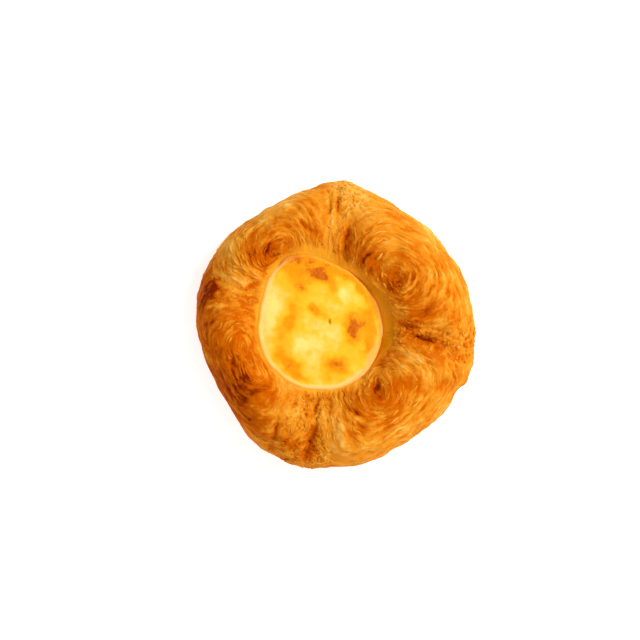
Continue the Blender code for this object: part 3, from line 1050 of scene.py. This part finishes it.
def buildCustard():
    rings = custard["rings"]
    theta = turns(custard["columns"])
    clear = smooth(1.0, 4.0, crevice(theta))
    edge = custardReach(theta) + custard["tuckedIn"] * (1 - clear)
    radius, height, looks = custardSkin(theta, edge, clear)

    # its side, down to a flat base
    foot = doughPlan["wellFloor"] + custard["foot"]
    t = steps(rings["side"])
    shoulder = height[:, -1:]
    sideHeight = shoulder + (foot - shoulder) * t
    sideRadius = edge - 0.25 * np.sin(pi * t) + custard["skirt"] * clear * smooth(0, 0.1, t) * (1 - t)
    baseRadius = edge * (1 - steps(rings["base"])[:, :-1])
    below = np.concatenate([sideHeight, foot + 0 * baseRadius], 1)
    radius = np.concatenate([radius, sideRadius, baseRadius], 1)
    heights = np.concatenate([height, below], 1)
    points = np.stack([radius * np.cos(theta), radius * np.sin(theta), heights], -1)

    index = np.arange(radius.size).reshape(radius.shape)
    faces = skinFaces(index, np.roll(index, -1, 0), index.size, index.size + 1)
    poles = [(0, 0, float(height[:, 0].mean())), (0, 0, foot)]
    mesh = meshInPlace("custard", np.concatenate([points.reshape(-1, 3), poles]), faces)
    mesh.shade_smooth()
    onSide = {"sunk": smooth(0, 6, shoulder - below), "rim": 1 + 0 * below}
    looks["sunk"] = 0 * height
    for name, values in looks.items():
        grid = np.concatenate([values, onSide.get(name, 0 * below)], 1)
        ends = [grid[:, 0].mean(), grid[:, -1].mean()]
        writeValues(mesh, name, np.concatenate([grid.reshape(-1), ends]))
    made = addObject("custardFilling", mesh)
    report(made)
    return made


def swing(tree, value, strength):
    # a noise from 0 to 1 as a change to either side of nothing
    return times(tree, calc(tree, "SUBTRACT", value, 0.5), strength)


def total(tree, *values):
    value = values[0]
    for other in values[1:]:
        value = calc(tree, "ADD", value, other)
    return value


def between(tree, value, low, high, toLow=0.0, toHigh=1.0):
    limits = {"Value": value, "From Min": low, "From Max": high, "To Min": toLow, "To Max": toHigh}
    return put(tree, "ShaderNodeMapRange", limits, interpolation_type="SMOOTHSTEP")[0]


def blend(tree, factor, a, b):
    return put(tree, "ShaderNodeMix", {0: factor, 6: a, 7: b}, data_type="RGBA")[2]


def read(tree, name):
    return put(tree, "ShaderNodeAttribute", attribute_name=name)["Fac"]


def use(tree, group, inputs):
    return put(tree, "ShaderNodeGroup", inputs, node_tree=group)


crustColours = {
    "Pale": (0.81, 0.42, 0.075, 1),
    "Golden": (0.67, 0.235, 0.012, 1),
    "Brown": (0.49, 0.092, 0.0002, 1),
    "Scorched": (0.18, 0.013, 0.0002, 1),
}


def browningGroup():
    # dough or skin from hardly baked to scorched
    group, start, end, _ = newTree(
        "ShaderNodeTree", "ovenBrowning",
        [("Amount", "Float", 0.5), *((name, "Color", colour) for name, colour in crustColours.items())],
        [("Color", "Color")],
    )
    colour = start["Pale"]
    for name, low, high in (("Golden", 0.10, 0.48), ("Brown", 0.42, 0.84), ("Scorched", 0.84, 1.15)):
        colour = blend(group, between(group, start["Amount"], low, high), colour, start[name])
    group.links.new(colour, end["Color"])
    return group


def fibreGroup():
    # fine threads that follow the rings: quick across them, slow along them
    group, start, end, _ = newTree(
        "ShaderNodeTree", "doughFibre",
        [("Layer", "Float", 0.0), ("Pitch", "Float", 0.6), ("Run", "Float", 160.0), ("Seed", "Float", 0.0)],
        [("Threads", "Float"), ("Streaks", "Float")],
    )
    place = put(group, "ShaderNodeTexCoord")["Object"]
    slow = put(group, "ShaderNodeVectorMath", {0: place, 3: start["Run"]}, operation="SCALE")[0]
    across = calc(group, "ADD", calc(group, "DIVIDE", start["Layer"], start["Pitch"]), start["Seed"])
    streaks = put(group, "ShaderNodeTexNoise", {
        "Vector": slow, "W": across, "Scale": 1.0, "Detail": 2.0, "Roughness": 0.55,
    }, noise_dimensions="4D")[0]
    crease = calc(group, "ABSOLUTE", calc(group, "SUBTRACT", streaks, 0.5))
    threads = calc(group, "SUBTRACT", 1.0, times(group, crease, 5.0), clamp=True)
    group.links.new(threads, end["Threads"])
    group.links.new(streaks, end["Streaks"])
    return group


def mottleGroup():
    # the uneven look of anything baked, in lumps or grains
    group, start, end, _ = newTree(
        "ShaderNodeTree", "bakedMottle", [("Scale", "Float", 500.0), ("Detail", "Float", 2.0)],
        [("Mottle", "Float")],
    )
    place = put(group, "ShaderNodeTexCoord")["Object"]
    inputs = {"Vector": place, "Scale": start["Scale"], "Detail": start["Detail"]}
    group.links.new(put(group, "ShaderNodeTexNoise", inputs)[0], end["Mottle"])
    return group


def newFinish(name, inputs):
    material = bpy.data.materials.new(name)
    material.use_nodes = True
    shader = material.node_tree.nodes["Principled BSDF"]
    for label, value in inputs.items():
        shader.inputs[label].default_value = value
    return material, material.node_tree, shader


def coat(tree, shader, colour, height, strength, distance):
    # gives a finish its colour, and bumps of so many metres
    tree.links.new(colour, shader.inputs["Base Color"])
    bump = put(tree, "ShaderNodeBump", {"Height": height, "Strength": strength, "Distance": distance})
    tree.links.new(bump[0], shader.inputs["Normal"])


browned, fibres, mottle = browningGroup(), fibreGroup(), mottleGroup()
# the deep colour is custard stain darkened with painted shade for the crevice
stainColours = {"thin": (0.86, 0.37, 0.018, 1), "deep": (0.68, 0.27, 0.002, 1)}
glaze = {
    "Specular IOR Level": 0.02, "Specular Tint": (1.0, 0.5, 0.08, 1), "Subsurface Radius": (1.0, 0.4, 0.1),
}
custardColours = {
    "Pale": (0.90, 0.63, 0.170, 1),
    "Golden": (0.90, 0.45, 0.016, 1),
    "Brown": (0.79, 0.275, 0.001, 1),
    "Scorched": (0.52, 0.110, 0.001, 1),
}
rimColours = {"cream": (0.90, 0.60, 0.20, 1), "peach": (0.82, 0.385, 0.10, 1)}
custardMarks = {  # strength and colour of each
    "seat": (0.9, (0.84, 0.35, 0.016, 1)),
    "sunk": (0.8, (0.72, 0.34, 0.008, 1)),
    # the pinprick and the gap under the lifted skin are darkened with painted shade
    "paintedHoleShade": (0.7, (0.40, 0.20, 0.010, 1)),
}


def crustFinish():
    material, tree, shader = newFinish(
        "bakedCrust", {**glaze, "Subsurface Weight": 0.25, "Subsurface Scale": 0.0016})
    layer = read(tree, "layer")
    coarse = use(tree, fibres, {"Layer": layer, "Pitch": 1.0, "Run": 300.0, "Seed": 3.0})
    fine = use(tree, fibres, {"Layer": layer, "Pitch": 0.5, "Run": 620.0, "Seed": 9.0})
    crumbs = use(tree, mottle, {"Scale": 900.0, "Detail": 3.0})[0]
    # the crest term paints ridges paler and valleys browner: partly the flakes' own tone, partly painted
    # highlight and painted shade
    amount = total(
        tree, read(tree, "browning"), swing(tree, coarse["Streaks"], 0.30),
        swing(tree, fine["Streaks"], 0.24), swing(tree, read(tree, "crest"), -0.42),
        swing(tree, crumbs, 0.26),
    )
    colour = use(tree, browned, {"Amount": amount, **crustColours})[0]
    # by the crevice the stain turns darker: custard stain with painted shade
    stain = blend(tree, read(tree, "creviceStainAndShade"), stainColours["thin"], stainColours["deep"])
    colour = blend(tree, times(tree, read(tree, "stain"), 0.75), colour, stain)
    tree.links.new(between(tree, amount, 0.1, 0.9, 0.45, 0.75), shader.inputs["Roughness"])
    coarseness = calc(tree, "MULTIPLY_ADD", read(tree, "torn"), 0.45, 0.25)
    height = total(
        tree, times(tree, coarse["Threads"], 0.4), times(tree, fine["Threads"], 0.35),
        times(tree, crumbs, coarseness),
    )
    coat(tree, shader, colour, height, 0.5, 0.00025)
    return material


def edgeFinish():
    material, tree, shader = newFinish(
        "layerEdge", {**glaze, "Roughness": 0.6, "Subsurface Weight": 0.1, "Subsurface Scale": 0.001})
    mottled = use(tree, mottle, {"Scale": 500.0})[0]
    amount = total(tree, read(tree, "browning"), swing(tree, mottled, 0.4))
    colour = use(tree, browned, {"Amount": amount, **crustColours})[0]
    coat(tree, shader, colour, mottled, 0.3, 0.0002)
    return material


def custardFinish():
    material, tree, shader = newFinish("bakedCustard", {
        "Specular IOR Level": 0.18, "Specular Tint": (1.0, 0.75, 0.35, 1), "Subsurface Weight": 0.25,
        "Subsurface Scale": 0.0025, "Subsurface Radius": (1.0, 0.6, 0.12),
    })
    mottled = use(tree, mottle, {"Scale": 260.0, "Detail": 4.0})[0]
    grain = use(tree, mottle, {"Scale": 1100.0})[0]
    toast = read(tree, "toast")
    dappled = calc(tree, "MULTIPLY_ADD", between(tree, toast, 0.6, 1.1), 0.6, 0.3)
    amount = total(
        tree, toast, times(tree, swing(tree, mottled, 1.0), dappled),
        times(tree, swing(tree, grain, 0.5), dappled),
    )
    colour = use(tree, browned, {"Amount": amount, **custardColours})[0]
    rimColour = blend(tree, read(tree, "peach"), rimColours["cream"], rimColours["peach"])
    colour = blend(tree, read(tree, "rim"), colour, rimColour)
    for name, (strength, mark) in custardMarks.items():
        colour = blend(tree, times(tree, read(tree, name), strength), colour, mark)
    tree.links.new(between(tree, amount, 0.2, 1.0, 0.34, 0.5), shader.inputs["Roughness"])
    coat(tree, shader, colour, total(tree, mottled, times(tree, grain, 0.3)), 0.3, 0.0004)
    return material


crustPaint, edgePaint = crustFinish(), edgeFinish()
print("finishes:", crustPaint.name, "and", edgePaint.name)
for piece in crustPieces:
    piece.data.materials.append(crustPaint)
edgePieces = buildEdges(crustGrid, edgePaint)
flakePieces = buildFlakes(edgePaint)
custardPiece = buildCustard()
custardPiece.data.materials.append(custardFinish())

studio = {
    "floorSize": 3.0,
    "floorGlow": 0.50,  # the floor is lit from below, as a light table is
    "worldStrength": 0.65,
    "key": {"at": (0.55, 0.25, 0.70), "size": 0.4, "power": 8.2, "colour": (1.0, 0.98, 0.95)},
    "fill": {"at": (0.15, -0.70, 0.36), "size": 0.5, "power": 1.1, "colour": (1.0, 0.97, 0.92)},
    "cameraHeight": 88.5,  # degrees above the floor
    "cameraDistance": 0.805,
    "lens": 124.0,
    "aim": (-0.0056, 0.0015, 0.018),
}


def placeFacing(made, place, aim):
    made.location = place
    made.rotation_euler = (aim - place).to_track_quat("-Z", "Y").to_euler()


def buildStudio():
    scene = bpy.context.scene
    half = studio["floorSize"] / 2
    mesh = bpy.data.meshes.new("floor")
    corners = [(-half, -half, 0), (half, -half, 0), (half, half, 0), (-half, half, 0)]
    mesh.from_pydata(corners, [], [(0, 1, 2, 3)])
    floor = addObject("floor", mesh)
    paint = newFinish("paleFloor", {
        "Base Color": (0.9, 0.9, 0.9, 1), "Roughness": 0.9, "Specular IOR Level": 0.1,
        "Emission Color": (1, 1, 1, 1), "Emission Strength": studio["floorGlow"],
    })[0]
    mesh.materials.append(paint)
    scene.world = bpy.data.worlds.new("studio")
    scene.world.use_nodes = True
    sky = scene.world.node_tree.nodes["Background"]
    sky.inputs["Color"].default_value = (1, 1, 1, 1)
    sky.inputs["Strength"].default_value = studio["worldStrength"]
    for name in ("key", "fill"):
        plan = studio[name]
        lamp = bpy.data.lights.new(name, "AREA")
        lamp.size = plan["size"]
        lamp.energy = plan["power"]
        lamp.color = plan["colour"]
        placeFacing(addObject(name, lamp), Vector(plan["at"]), Vector())
    lens = bpy.data.cameras.new("camera")
    lens.lens = studio["lens"]
    lens.clip_start = 0.01
    scene.camera = addObject("camera", lens)
    aim = Vector(studio["aim"])
    tilt = radians(studio["cameraHeight"])
    placeFacing(scene.camera, aim + Vector((0, -cos(tilt), sin(tilt))) * studio["cameraDistance"], aim)
    scene.view_settings.view_transform = "Standard"
    print("studio: floor, lamps and camera")


buildStudio()

for piece in crustPieces + edgePieces + flakePieces:
    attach(piece, "root")
    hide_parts("dough")
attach(custardPiece, "root")
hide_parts("custard")
